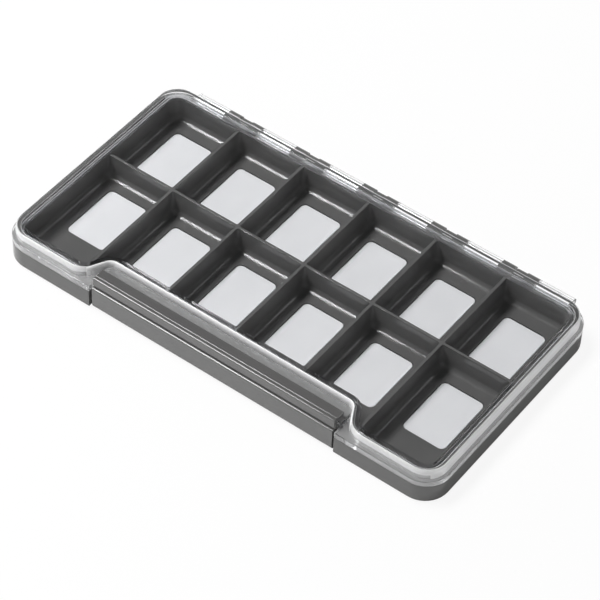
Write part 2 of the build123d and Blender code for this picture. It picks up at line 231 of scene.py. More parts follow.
class Bench:
    """Object-mode tools: primitives, booleans, rounds, copies and shading."""

    @staticmethod
    def clear() -> None:
        """Leave nothing selected, in object mode."""
        if bpy.context.object is not None and bpy.context.object.mode != "OBJECT":
            bpy.ops.object.mode_set(mode="OBJECT")
        bpy.ops.object.select_all(action="DESELECT")

    @staticmethod
    def take(piece: Piece) -> None:
        """Select one piece alone and make it active.

        Args:
            piece: The piece.
        """
        Bench.clear()
        piece.select_set(True)
        bpy.context.view_layer.objects.active = piece

    @staticmethod
    def settle(name: str, scale: Point = (1.0, 1.0, 1.0)) -> Piece:
        """Name the active piece, scale it and write its place into its mesh.

        Args:
            name: The piece's name.
            scale: Its scale before it is applied.

        Returns:
            The piece, with its object at the origin.
        """
        piece = bpy.context.object
        piece.name = name
        piece.data.name = name
        piece.scale = scale
        bpy.ops.object.transform_apply(location=True, rotation=True, scale=True)
        return piece

    @staticmethod
    def block(name: str, low: Point, high: Point) -> Piece:
        """Add a cube and stretch it between two corners.

        Args:
            name: The piece's name.
            low: Its lowest corner in millimetres.
            high: Its highest corner in millimetres.

        Returns:
            The block.
        """
        Bench.clear()
        centre = [(a + b) / 2 * MM for a, b in zip(low, high)]
        bpy.ops.mesh.primitive_cube_add(size=1.0, location=centre)
        return Bench.settle(name, tuple((b - a) * MM for a, b in zip(low, high)))

    @staticmethod
    def sheet(name: str, low: Pair, high: Pair, z: float) -> Piece:
        """Add a flat rectangle at a height.

        Args:
            name: The piece's name.
            low: Its corner with the lowest X and Y, in millimetres.
            high: Its opposite corner.
            z: Its height.

        Returns:
            The sheet, a single face.
        """
        Bench.clear()
        centre = [(low[0] + high[0]) / 2 * MM, (low[1] + high[1]) / 2 * MM, z * MM]
        bpy.ops.mesh.primitive_plane_add(size=1.0, location=centre)
        return Bench.settle(name, ((high[0] - low[0]) * MM, (high[1] - low[1]) * MM, 1.0))

    @staticmethod
    def rod(name: str, radius: float, start: Point, length: float, sides: int = WIRE_SIDES) -> Piece:
        """Add a cylinder that runs along X.

        Args:
            name: The piece's name.
            radius: Its radius in millimetres.
            start: The centre of its left end.
            length: Its length.
            sides: Number of flats round it.

        Returns:
            The rod.
        """
        Bench.clear()
        bpy.ops.mesh.primitive_cylinder_add(
            vertices=sides,
            radius=radius * MM,
            depth=length * MM,
            location=[(start[0] + length / 2) * MM, start[1] * MM, start[2] * MM],
            rotation=(0.0, math.pi / 2, 0.0),
        )
        return Bench.settle(name)

    @staticmethod
    def join(piece: Piece, tool: Piece, how: Join) -> None:
        """Combine a piece with a tool piece and use the tool up.

        Args:
            piece: The piece that stays.
            tool: The piece that is used up.
            how: Whether the tool cuts, adds or keeps only what both share.
        """
        change = piece.modifiers.new("join", "BOOLEAN")
        change.operation = how.value
        change.solver = "MANIFOLD"
        change.object = tool
        Bench.take(piece)
        bpy.ops.object.modifier_apply(modifier=change.name)
        bpy.data.objects.remove(tool, do_unlink=True)

    @staticmethod
    def cut(piece: Piece, low: Point, high: Point) -> None:
        """Cut the block between two corners out of a piece."""
        Bench.join(piece, Bench.block("cut", low, high), Join.CUT)

    @staticmethod
    def drill(piece: Piece, radius: float, start: Point, length: float) -> None:
        """Drill a hole along X, from the centre of its left end."""
        Bench.join(piece, Bench.rod("drill", radius, start, length), Join.CUT)

    @staticmethod
    def rim(piece: Piece, z: float, radius: float, segments: int = 4) -> None:
        """Round a piece's sharp edges at a height.

        Args:
            piece: The piece.
            z: The height of the edges.
            radius: Width of the round.
            segments: Number of flats that make it.
        """
        with Editing(piece) as edit:
            edit.pick(Pick.EDGE, lambda edge: at(edge, z=z) and folded(edge))
            edit.bevel(radius, segments)

    @staticmethod
    def corners(sheet: Piece, radius: float, segments: int) -> Piece:
        """Round every corner of a sheet.

        Args:
            sheet: The sheet.
            radius: Width of the rounds.
            segments: Number of flats that make each.

        Returns:
            The sheet.
        """
        with Editing(sheet) as edit:
            edit.pick(Pick.POINT)
            edit.bevel(radius, segments, points=True)
        return sheet

    @staticmethod
    def raised(sheet: Piece, height: float) -> Piece:
        """Extrude a sheet straight up into a closed solid.

        Args:
            sheet: The sheet, with or without a hole in it.
            height: How far.

        Returns:
            The solid.
        """
        with Editing(sheet) as edit:
            edit.pick(Pick.FACE)
            edit.extrude((0.0, 0.0, height))
            edit.turn_faces_out()
        return sheet

    @staticmethod
    def bridge(low: Piece, high: Piece) -> Piece:
        """Join two sheets by walls between their borders.

        Args:
            low: The lower sheet, which stays.
            high: The upper sheet, which is used up and has as many points.

        Returns:
            The closed solid between them.
        """
        Bench.take(low)
        high.select_set(True)
        bpy.ops.object.join()
        with Editing(low) as edit:
            edit.pick(Pick.FACE)
            bpy.ops.mesh.delete(type="ONLY_FACE")
            edit.pick(Pick.EDGE)
            bpy.ops.mesh.bridge_edge_loops()
            edit.pick(Pick.EDGE, lambda edge: len(edge.link_faces) == 1)
            bpy.ops.mesh.edge_face_add()
            edit.turn_faces_out()
        return low

    @staticmethod
    def copy(piece: Piece, name: str, by: Point) -> Piece:
        """Copy a piece with its own mesh and write the copy's new place into that mesh.

        Args:
            piece: The piece to copy.
            name: The copy's name.
            by: How far the copy moves, in millimetres.

        Returns:
            The copy.
        """
        twin = piece.copy()
        twin.data = piece.data.copy()
        bpy.context.scene.collection.objects.link(twin)
        twin.location = [part * MM for part in by]
        Bench.take(twin)
        return Bench.settle(name)

    @staticmethod
    def smooth(piece: Piece) -> Piece:
        """Shade a finished piece's rounds smoothly and keep its flats flat.

        Args:
            piece: The piece.

        Returns:
            The piece.
        """
        with Editing(piece) as edit:
            edit.turn_faces_out()
        Bench.take(piece)
        bpy.ops.object.shade_smooth_by_angle(angle=math.radians(SMOOTH))
        even = piece.modifiers.new("even", "WEIGHTED_NORMAL")
        even.keep_sharp = True
        bpy.ops.object.modifier_apply(modifier=even.name)
        return piece


class Tree:
    """The node tree of a material or a world, with short calls to add and link nodes."""

    def __init__(self, owner: bpy.types.Material | bpy.types.World) -> None:
        """Turn the owner's nodes on.

        Args:
            owner: The material or world.
        """
        owner.use_nodes = True
        self.nodes = owner.node_tree.nodes
        self.link = owner.node_tree.links.new
        self.result = self.nodes[f"{type(owner).__name__} Output"].inputs["Surface"]

    def plug(self, value: object, into: Socket) -> None:
        """Link a socket into an input, or write a plain value into it.

        Args:
            value: The socket or the value.
            into: The input.
        """
        if isinstance(value, Socket):
            self.link(value, into)
        else:
            into.default_value = value

    def fill(self, node: bpy.types.Node, **inputs: object) -> None:
        """Fill inputs of a node, by their names with _ for a space."""
        for name, value in inputs.items():
            self.plug(value, node.inputs[name.replace("_", " ")])

    def add(self, kind: str, **inputs: object) -> bpy.types.Node:
        """Add a shader node.

        Args:
            kind: Its kind, such as Emission.
            inputs: A value or a socket for each input that is filled.

        Returns:
            The node.
        """
        node = self.nodes.new(f"ShaderNode{kind}")
        self.fill(node, **inputs)
        return node

    def reckon(self, how: Reckon, first: Socket, second: Socket | float) -> Socket:
        """Combine two values.

        Args:
            how: The larger of the two, or their product.
            first: One value.
            second: The other.

        Returns:
            The result.
        """
        node = self.nodes.new("ShaderNodeMath")
        node.operation = how.value
        self.plug(first, node.inputs[0])
        self.plug(second, node.inputs[1])
        return node.outputs[0]

    def rays(self, first: str, second: str) -> Socket:
        """Give 1 for rays of either of two kinds, such as Shadow, and 0 for the rest."""
        kinds = self.nodes.new("ShaderNodeLightPath").outputs
        return self.reckon(Reckon.LARGER, kinds[f"Is {first} Ray"], kinds[f"Is {second} Ray"])

    def mix(self, share: Socket, first: Socket, second: Socket) -> None:
        """Make the tree's result from two shaders.

        Args:
            share: The second one's share, from 0 to 1.
            first: The shader that shows at 0.
            second: The shader that shows at 1.
        """
        node = self.nodes.new("ShaderNodeMixShader")
        for value, into in zip((share, first, second), node.inputs):
            self.link(value, into)
        self.link(node.outputs["Shader"], self.result)


@dataclass(frozen=True)
class Wave:
    """A noise pattern: waves for each metre, octaves of finer noise, and a stretch along each axis."""

    scale: float
    detail: float = 2.0
    stretch: Point | None = None


class Recipe(Tree):
    """A material whose surface is one Principled shader."""

    middle_range: Pair = (0.3, 0.7)
    tint_range: Pair = (0.35, 0.65)

    def __init__(self, name: str) -> None:
        """Start the material.

        Args:
            name: The material's name.
        """
        self.material = bpy.data.materials.new(name)
        super().__init__(self.material)
        self.shader = self.nodes["Principled BSDF"]
        self.place = self.nodes.new("ShaderNodeTexCoord").outputs["Object"]

    def noise(self, wave: Wave) -> Socket:
        """Add a noise pattern.

        Args:
            wave: The pattern.

        Returns:
            Its value.
        """
        place = self.place
        if wave.stretch is not None:
            place = self.add("Mapping", Scale=wave.stretch, Vector=place).outputs["Vector"]
        return self.add("TexNoise", Scale=wave.scale, Detail=wave.detail, Vector=place).outputs["Fac"]

    def tint(self, value: Socket, *shades: Point) -> None:
        """Colour the surface between two shades by a pattern.

        Args:
            value: The pattern, about 0 to 1.
            shades: Linear colours where it is low and where it is high.
        """
        ramp = self.add("ValToRGB", Fac=value)
        for stop, place, shade in zip(ramp.color_ramp.elements, self.tint_range, shades):
            stop.position = place
            stop.color = (*shade, 1.0)
        self.fill(self.shader, Base_Color=ramp.outputs["Color"])

    def rough(self, value: Socket, low: float, high: float) -> None:
        """Vary the roughness by a pattern's middle range.

        Args:
            value: The pattern.
            low: Roughness in its dark parts.
            high: Roughness in its light parts.
        """
        dark, light = self.middle_range
        spread = self.add("MapRange", From_Min=dark, From_Max=light, To_Min=low, To_Max=high, Value=value)
        self.fill(self.shader, Roughness=spread.outputs["Result"])

    def bump(self, value: Socket, height: float, strength: float) -> None:
        """Raise the surface by a pattern, to a height in millimetres and a share of it."""
        node = self.add("Bump", Distance=height * MM, Strength=strength, Height=value)
        self.fill(self.shader, Normal=node.outputs["Normal"])


@dataclass(frozen=True)
class Finish:
    """A surface whose shade drifts between two colours, with a fine grain."""

    name: str
    shades: tuple[Point, Point]
    drift: Wave
    grain: Wave
    roughness: Pair
    bump: Pair
    shader: tuple[tuple[str, float], ...]

    def material(self) -> bpy.types.Material:
        """Build the material.

        Returns:
            The material.
        """
        recipe = Recipe(self.name)
        recipe.tint(recipe.noise(self.drift), *self.shades)
        grain = recipe.noise(self.grain)
        recipe.rough(grain, *self.roughness)
        recipe.bump(grain, *self.bump)
        recipe.fill(recipe.shader, **dict(self.shader))
        return recipe.material


def moulded(name: str, shade: float, sheen: float) -> Finish:
    """Describe dark grey moulded plastic with a fine spark-eroded texture.

    Args:
        name: The finish's name.
        shade: How light the grey is.
        sheen: Strength of its highlights.

    Returns:
        The finish.
    """
    dark = tuple(shade * part for part in (0.96, 0.955, 0.95))
    light = tuple(shade * part for part in (1.04, 1.035, 1.02))
    shader = (("IOR", 1.5), ("Specular_IOR_Level", sheen))
    return Finish(name, (dark, light), Wave(45.0, 3.0), Wave(3800.0, 3.0), (0.07, 0.13), (0.003, 0.5), shader)


@dataclass(frozen=True)
class Silicone(Finish):
    """Soft seal rubber, nearly clear where it beds against the lid, with a faint mottle."""

    name: str = "seal"
    shades: tuple[Point, Point] = ((0.88, 0.88, 0.9), (0.94, 0.94, 0.95))
    drift: Wave = Wave(160.0, 3.0)
    grain: Wave = Wave(2500.0)
    roughness: Pair = (0.03, 0.06)
    bump: Pair = (0.003, 0.2)
    shader: tuple[tuple[str, float], ...] = (("IOR", 1.12), ("Transmission_Weight", 1.0))


@dataclass(frozen=True)
class MagnetSheet(Finish):
    """White coated magnetic sheet with a very fine eggshell face."""

    name: str = "pad"
    shades: tuple[Point, Point] = ((0.84, 0.845, 0.865), (0.87, 0.875, 0.895))
    drift: Wave = Wave(90.0, 4.0)
    grain: Wave = Wave(2200.0, 3.0)
    roughness: Pair = (0.5, 0.62)
    bump: Pair = (0.01, 0.35)
    shader: tuple[tuple[str, float], ...] = (("IOR", 1.45),)


@dataclass(frozen=True)
class DrawnWire(Finish):
    """Bright steel wire with faint lines along it."""

    name: str = "pin"
    shades: tuple[Point, Point] = ((0.5, 0.5, 0.5), (0.66, 0.655, 0.65))
    drift: Wave = Wave(900.0, 2.0, (0.04, 1.0, 1.0))
    grain: Wave = drift
    roughness: Pair = (0.2, 0.34)
    bump: Pair = (0.004, 0.3)
    shader: tuple[tuple[str, float], ...] = (("Metallic", 1.0),)


class Shine(Enum):
    """Faces of the clear plastic: the share of light let through and the roughness. Only POLISHED is plainly
    clear; the others let less through, so their near-white base colour shows as painted reflection, from
    faint to white, on faces that look bright from reflected light.
    """

    POLISHED = (1.0, 0.015)
    # pale painted reflection: less light let through, so the near-white base shows on the raised top's rounds
    # and its end faces
    SATIN = (0.42, 0.2)
    # faint painted reflection on the flange, the ledge, the hollow's walls and the raised top's long sides
    HAZY = (0.78, 0.08)
    # white painted reflection on the raised top's sides and rounds behind the latch
    FROSTED = (0.08, 0.3)


@dataclass(frozen=True)
class ClearPlastic:
    """Moulded clear plastic with a faint flow in its surface."""

    shine: Shine
    shade: tuple[float, ...] = (0.985, 0.99, 0.995, 1.0)
    passed: float = 0.965
    ior: float = 1.49
    flow: Wave = Wave(60.0, 2.0, (1.0, 2.2, 1.0))
    flow_bump: Pair = (0.01, 0.15)
    grain: Wave = Wave(900.0)
    grain_depth: float = 0.02

    def material(self) -> bpy.types.Material:
        """Build the material, which lets lamps shine straight through.

        Returns:
            The material.
        """
        recipe = Recipe(f"clear_lid_{self.shine.name.lower()}")
        # the shine's share of light let through; below 1 the near-white base colour shows as painted
        # reflection
        clear, gloss = self.shine.value
        recipe.rough(recipe.noise(self.grain), gloss, gloss + self.grain_depth)
        recipe.bump(recipe.noise(self.flow), *self.flow_bump)
        recipe.fill(recipe.shader, Base_Color=self.shade, Transmission_Weight=clear, IOR=self.ior)
        open_way = recipe.add("BsdfTransparent", Color=(self.passed, self.passed, self.passed, 1.0))
        lamps = recipe.rays("Shadow", "Diffuse")
        recipe.mix(lamps, recipe.shader.outputs["BSDF"], open_way.outputs["BSDF"])
        return recipe.material


@dataclass(frozen=True)
class Plan:
    """Outlines and heights that the pieces share."""

    pitch: float = 30.0
    columns: int = 6
    back_cell: float = 38.9
    front_cell: float = 49.8
    divider: float = 1.2
    rim: float = 4.9
    wall: float = 1.4
    corner: float = 10.0
    floor: float = 1.7
    shoulder: float = 8.4
    wall_top: float = 11.7
    top: float = 15.0
    setback: float = 9.9
    step_start: float = 51.1
    step_angle: float = 62.0
    bend_in: float = 6.0
    bend_out: float = 4.5
    recess_half: float = 53.9
    hinge_offset: float = 2.6
    hinge_z: float = 8.6
    knuckle: float = 2.0

    @property
    def end(self) -> float:
        """X of the sealing wall's inner face at the right end."""
        return self.columns * self.pitch / 2

    @property
    def half_length(self) -> float:
        """Half of the box's length."""
        return self.end + self.rim

    @property
    def back(self) -> float:
        """Y of the tray's back, and minus the Y of its front."""
        return (self.back_cell + self.divider + self.front_cell) / 2 + self.rim

    @property
    def inner(self) -> float:
        """Y of the sealing wall's inner face at the back."""
        return self.back - self.rim

    @property
    def divider_y(self) -> float:
        """Y of the middle of the long divider."""
        return self.inner - self.back_cell - self.divider / 2

    @property
    def latch_wall(self) -> float:
        """Y of the sealing wall's inner face behind the latch."""
        return -self.inner + self.setback

    @property
    def hinge_y(self) -> float:
        """Y of the lid's hinge axis."""
        return self.back + self.hinge_offset

    def rounded(self, name: str, z: float, segments: int) -> Piece:
        """Make a sheet with the box's outline.

        Args:
            name: The sheet's name.
            z: Its height.
            segments: Number of flats in each corner.

        Returns:
            The sheet, a single face.
        """
        x, y = self.half_length, self.back
        return Bench.corners(Bench.sheet(name, (-x, -y), (x, y), z), self.corner, segments)

    def stepped(self, name: str, grow: float, sides: float, z: float, segments: int = 8) -> Piece:
        """Make a sheet whose front steps inboard behind the latch through two bends.

        Args:
            name: The sheet's name.
            grow: How far its stretch behind the latch lies outside the sealing wall's inner face.
            sides: How far the rest of it lies outside that face.
            z: Its height.
            segments: Number of flats in each bend.

        Returns:
            The sheet, a single face.
        """
        lean = math.tan(math.radians(self.step_angle / 2))
        side = self.half_length - self.rim + sides
        front, back, wall = -self.inner - sides, self.inner + sides, self.latch_wall - grow
        near = self.step_start + (self.bend_in - grow) * lean
        far = near + (wall - front) / math.tan(math.radians(self.step_angle))
        piece = Bench.sheet(name, (-side, front), (side, back), z)
        with Editing(piece) as edit:
            for x in (-far, -near, near, far):
                edit.slice((x, 0.0, z), (1.0, 0.0, 0.0))
            edit.pick(Pick.POINT, lambda point: at(point, x=near, y=front))
            edit.move((0.0, wall - front, 0.0))
            edit.pick(Pick.EDGE, lambda edge: len(edge.link_faces) == 2)
            bpy.ops.mesh.dissolve_edges(use_verts=False)
            edit.pick(Pick.POINT, lambda point: at(point, y=back) and not at(point, x=side))
            bpy.ops.mesh.dissolve_verts()
            corner = self.corner - self.rim + sides
            bends = (
                (side, front, corner),
                (side, back, corner),
                (near, wall, (self.bend_in - grow) * lean),
                (far, front, (self.bend_out + sides) * lean),
            )
            for x, y, width in bends:
                edit.pick(Pick.POINT, lambda point: at(point, x=x, y=y))
                edit.bevel(width, segments, points=True)
        return piece

    def sealing(self, name: str, grow: float, z: float) -> Piece:
        """Make a sheet with the sealing wall's inner outline moved outwards by `grow`, at a height."""
        return self.stepped(name, grow, grow, z)


@dataclass
class HingeLine:
    """Ears of the tray, knuckles of the lid and the wire through them."""

    plan: Plan
    groups: int = 5
    group_pitch: float = 31.0
    group_width: float = 15.3
    ear_width: float = 5.1
    ear_foot: float = 2.2
    barrel_sides: int = 40
    web_drop: float = 0.5
    bar: float = 1.65
    bar_slot: float = 0.9
    bar_sink: float = 0.5
    bar_sides: int = 36
    side_gap: float = 0.25
    end_width: float = 14.6
    wire: float = 0.8
    wire_edge: float = 0.25
    running: float = 0.05
    over: float = 5.0
    pin_inset: float = 5.5
    notch_floor: float = 5.5
    root: float = 1.8
    root_foot: float = 5.8

    @property
    def group_x(self) -> list[float]:
        """X of the middle of each pair of ears."""
        return [(i - (self.groups - 1) / 2) * self.group_pitch for i in range(self.groups)]

    @property
    def ear_starts(self) -> list[float]:
        """X of the left side of each ear."""
        lefts = [x - self.group_width / 2 for x in self.group_x]
        return sorted(lefts + [x + self.group_width - self.ear_width for x in lefts])

    @property
    def knuckles(self) -> list[Pair]:
        """Left side and width of each lid knuckle."""
        width = self.group_pitch - self.group_width - 2 * self.side_gap
        starts = [x + self.group_width / 2 + self.side_gap for x in self.group_x]
        spans = [(start, width) for start in starts[:-1]]
        return [(-starts[-1] - self.end_width, self.end_width), *spans, (starts[-1], self.end_width)]

    def barrel(self, name: str, x: float, width: float, lid: bool) -> Piece:
        """Make one ear or knuckle, without its bore.

        Args:
            name: The piece's name.
            x: Its left side.
            width: Its width.
            lid: Whether it belongs to the lid.

        Returns:
            A barrel with the web that ties it to its moulding.
        """
        plan = self.plan
        y, z, r = plan.hinge_y, plan.hinge_z, plan.knuckle
        if lid:
            tuck, top, foot = self.root, z + r, self.root_foot
        else:
            tuck, top, foot = plan.wall, plan.shoulder - self.web_drop, z - r - self.ear_foot
        piece = Bench.rod(name, r, (x, y, z), width, self.barrel_sides)
        web = Bench.block("web", (x, plan.back - tuck, z - r), (x + width, y, top))
        with Editing(web) as edit:
            edit.slice((x, plan.back, z), (0.0, 1.0, 0.0))
            edit.pick(Pick.POINT, lambda point: at(point, z=z - r) and not at(point, y=y))
            edit.move((0.0, 0.0, foot - (z - r)))
            edit.turn_faces_out()
        Bench.join(piece, web, Join.ADD)
        return piece

    def bore(self, piece: Piece, radius: float) -> None:
        """Drill the hinge's axis through a piece from end to end."""
        reach = self.plan.half_length + self.over
        Bench.drill(piece, radius, (-reach, self.plan.hinge_y, self.plan.hinge_z), 2 * reach)

    def pin(self) -> Piece:
        """Make the wire with its ends rounded over.

        Returns:
            The wire.
        """
        half = -self.knuckles[0][0] - self.pin_inset
        piece = Bench.rod("hinge_wire", self.wire, (-half, self.plan.hinge_y, self.plan.hinge_z), 2 * half)
        with Editing(piece) as edit:
            edit.pick(Pick.EDGE, lambda edge: at(edge, x=half) and folded(edge))
            edit.bevel(self.wire_edge, 3)
        return Bench.smooth(piece)


@dataclass
class Tray:
    """The grey moulding: rim, sealing wall, dividers, pad pockets and hinge ears."""

    plan: Plan
    hinge: HingeLine
    bottom_edge: float = 1.2
    shoulder_edge: float = 0.5
    top_edge: float = 0.22
    foot: float = 2.3
    foot_segments: int = 10
    corner_segments: int = 8
    corner_foot: float = 2.5
    corner_top: float = 0.5
    channel_wall: float = 1.5
    plug_foot: float = 1.0
    step_overlap: Pair = (1.0, 5.0)
    pocket: Pair = (18.0, 26.4)
    pocket_z: float = 0.75
    pocket_corner: float = 2.3
    pad_offset: float = 19.5
    pivot: Pair = (-47.35, 2.35)
    pin_radius: float = 0.8
    pin_hold: float = 4.0
    pin_lead: float = 0.5

    def rim(self) -> Piece:
        """Make the outer body with its latch gap, rounded along its edges.

        Returns:
            The body, solid inside the rim up to the shoulder.
        """
        plan, half = self.plan, self.plan.recess_half
        piece = Bench.raised(plan.rounded("tray", 0.0, 10), plan.shoulder)
        Bench.cut(piece, (-half, -OUTSIDE, -CLEAR), (half, -plan.inner, CLEAR))
        Bench.rim(piece, 0.0, self.bottom_edge, 5)
        Bench.rim(piece, plan.shoulder, self.shoulder_edge)
        channel_front = -plan.inner + self.channel_wall
        Bench.cut(piece, (-half, channel_front, plan.floor), (half, plan.latch_wall, CLEAR))
        return piece

    def section(self, low: Pair, high: Pair, z: float, radius: float) -> Piece:
        """Make a level section of one compartment.

        Args:
            low: Its corner with the lowest X and Y.
            high: Its opposite corner.
            z: Its height.
            radius: Round of the corners, apart from those that lie in the tray's own corners.

        Returns:
            The section, a single face.
        """
        plan = self.plan
        piece = Bench.sheet("space", low, high, z)

        def outer(point: bmesh.types.BMVert) -> bool:
            """Tell whether a point lies in a corner of the tray."""
            return at(point, x=plan.end) and close(abs(middle(point).y), plan.inner)

        def square(point: bmesh.types.BMVert) -> bool:
            """Tell whether a point is still one of the section's square corners."""
            ends = zip(middle(point), low, high)
            return all(close(part, start) or close(part, stop) for part, start, stop in ends)

        with Editing(piece) as edit:
            if edit.pick(Pick.POINT, outer):
                edit.bevel(plan.corner - plan.rim, self.corner_segments, points=True)
            edit.pick(Pick.POINT, square)
            edit.bevel(radius, self.corner_segments, points=True)
        return piece

    def space(self, low: Pair, high: Pair) -> Piece:
        """Shape the space in one compartment, whose upright corners widen towards the foot.

        Args:
            low: Its corner with the lowest X and Y.
            high: Its opposite corner.

        Returns:
            The space, which reaches above the walls, with a round along its foot.
        """
        plan = self.plan
        knee = plan.floor + self.foot
        piece = Bench.bridge(
            self.section(low, high, knee, self.corner_foot),
            self.section(low, high, plan.wall_top, self.corner_top),
        )
        with Editing(piece) as edit:
            for height, rise in ((plan.wall_top, CLEAR), (knee, -self.foot)):
                edit.pick(Pick.FACE, lambda face: at(face, z=height))
                edit.extrude((0.0, 0.0, rise))
            edit.turn_faces_out()
        Bench.rim(piece, plan.floor, self.foot, self.foot_segments)
        return piece

    def step_space(self, side: float) -> Piece:
        """Shape the space that a front compartment gains where the sealing wall steps forward.

        Args:
            side: -1 for the left compartment and 1 for the right one.

        Returns:
            The space between the wall's step and the cross divider.
        """
        plan = self.plan
        wall = 2 * plan.pitch - plan.divider / 2
        inward, backward = self.step_overlap
        left, right = sorted((side * (plan.step_start - inward), side * wall))
        piece = Bench.block("step", (left, -OUTSIDE, plan.floor), (right, plan.latch_wall + backward, CLEAR))
        with Editing(piece) as edit:
            edit.pick(Pick.EDGE, lambda edge: at(edge, x=wall, z=plan.floor))
            edit.bevel(self.foot, self.foot_segments)
        well = Bench.raised(plan.sealing("well", 0.0, plan.floor), CLEAR)
        Bench.rim(well, plan.floor, self.foot, self.foot_segments)
        Bench.join(piece, well, Join.KEEP)
        return piece

    def spaces(self) -> list[Piece]:
        """Shape the spaces of all the compartments.

        Returns:
            The spaces, ready to be sunk into the tray.
        """
        plan, half, last = self.plan, self.plan.divider / 2, self.plan.columns - 1
        found = []
        for column in range(plan.columns):
            left = column * plan.pitch - plan.end + (half if column > 0 else 0.0)
            right = (column + 1) * plan.pitch - plan.end - (half if column < last else 0.0)
            front = -plan.inner if column in (0, last) else plan.latch_wall
            found.append(self.space((left, plan.divider_y + half), (right, plan.inner)))
            found.append(self.space((left, front), (right, plan.divider_y - half)))
        return found + [self.step_space(side) for side in (-1.0, 1.0)]

    def walls(self, piece: Piece) -> None:
        """Raise a solid inside the rim and sink the compartments into it.

        Args:
            piece: The tray.
        """
        plan = self.plan
        plug = plan.sealing("plug", plan.wall, self.plug_foot)
        Bench.join(piece, Bench.raised(plug, plan.wall_top - self.plug_foot), Join.ADD)
        for space in self.spaces():
            Bench.join(piece, space, Join.CUT)
        Bench.rim(piece, plan.wall_top, self.top_edge)

    def pockets(self, piece: Piece) -> None:
        """Sink the shallow pockets that hold the pads.

        Args:
            piece: The tray.
        """
        half_x, half_y = self.pocket[0] / 2, self.pocket[1] / 2
        for x, y in self.pad_places().values():
            tool = Bench.sheet("pocket", (x - half_x, y - half_y), (x + half_x, y + half_y), self.pocket_z)
            Bench.corners(tool, self.pocket_corner, 5)
            Bench.join(piece, Bench.raised(tool, CLEAR), Join.CUT)

    def pad_places(self) -> dict[str, Pair]:
        """Give the middle of each pad.

        Returns:
            The places by row and number, such as back_1.
        """
        plan = self.plan
        return {
            f"{row}_{column + 1}": ((column + 0.5) * plan.pitch - plan.end, plan.divider_y + offset)
            for row, offset in (("back", self.pad_offset), ("front", -self.pad_offset))
            for column in range(plan.columns)
        }

    def ears(self, piece: Piece) -> None:
        """Cut the notches for the lid's knuckles and add the ears between them.

        Args:
            piece: The tray.
        """
        plan, hinge = self.plan, self.hinge
        for x, width in hinge.knuckles:
            low = (x - hinge.side_gap, plan.inner + plan.wall, hinge.notch_floor)
            Bench.cut(piece, low, (x + width + hinge.side_gap, OUTSIDE, CLEAR))
        first = hinge.ear_starts[0]
        pattern = hinge.barrel("ear", first, hinge.ear_width, lid=False)
        for x in hinge.ear_starts:
            Bench.join(piece, Bench.copy(pattern, "ear_copy", (x - first, 0.0, 0.0)), Join.ADD)
        bpy.data.objects.remove(pattern, do_unlink=True)
        for x in hinge.group_x:
            start = x - hinge.group_width / 2 + hinge.ear_width + hinge.bar_slot
            length = x + hinge.group_width / 2 - hinge.ear_width + hinge.bar_sink - start
            bar = Bench.rod("bar", hinge.bar, (start, plan.hinge_y, plan.hinge_z), length, hinge.bar_sides)
            Bench.join(piece, bar, Join.ADD)
        hinge.bore(piece, hinge.wire)

    def make(self) -> Piece:
        """Make the whole tray.

        Returns:
            The tray.
        """
        piece = self.rim()
        self.walls(piece)
        self.pockets(piece)
        self.ears(piece)
        for left in (-self.plan.recess_half - self.pin_hold, self.plan.recess_half):
            start = (left - self.pin_lead, *self.pivot)
            Bench.drill(piece, self.pin_radius, start, self.pin_hold + self.pin_lead)
        return Bench.smooth(piece)


@dataclass
class Pads:
    """The magnetic sheets, one in the floor of each compartment."""

    tray: Tray
    width: float = 17.4
    length: float = 25.8
    corner: float = 2.0
    thickness: float = 0.7
    edge: float = 0.12

    def make(self) -> dict[str, Piece]:
        """Make one pad and copy it to every pocket.

        Returns:
            The pads by row and number.
        """
        half_x, half_y, z = self.width / 2, self.length / 2, self.tray.pocket_z
        pattern = Bench.sheet("pad_pattern", (-half_x, -half_y), (half_x, half_y), z)
        Bench.raised(Bench.corners(pattern, self.corner, 8), self.thickness)
        Bench.rim(pattern, z + self.thickness, self.edge, 3)
        Bench.smooth(pattern)
        places = self.tray.pad_places()
        pads = {name: Bench.copy(pattern, f"pad_sheet_{name}", (*spot, 0.0)) for name, spot in places.items()}
        bpy.data.objects.remove(pattern, do_unlink=True)
        return pads


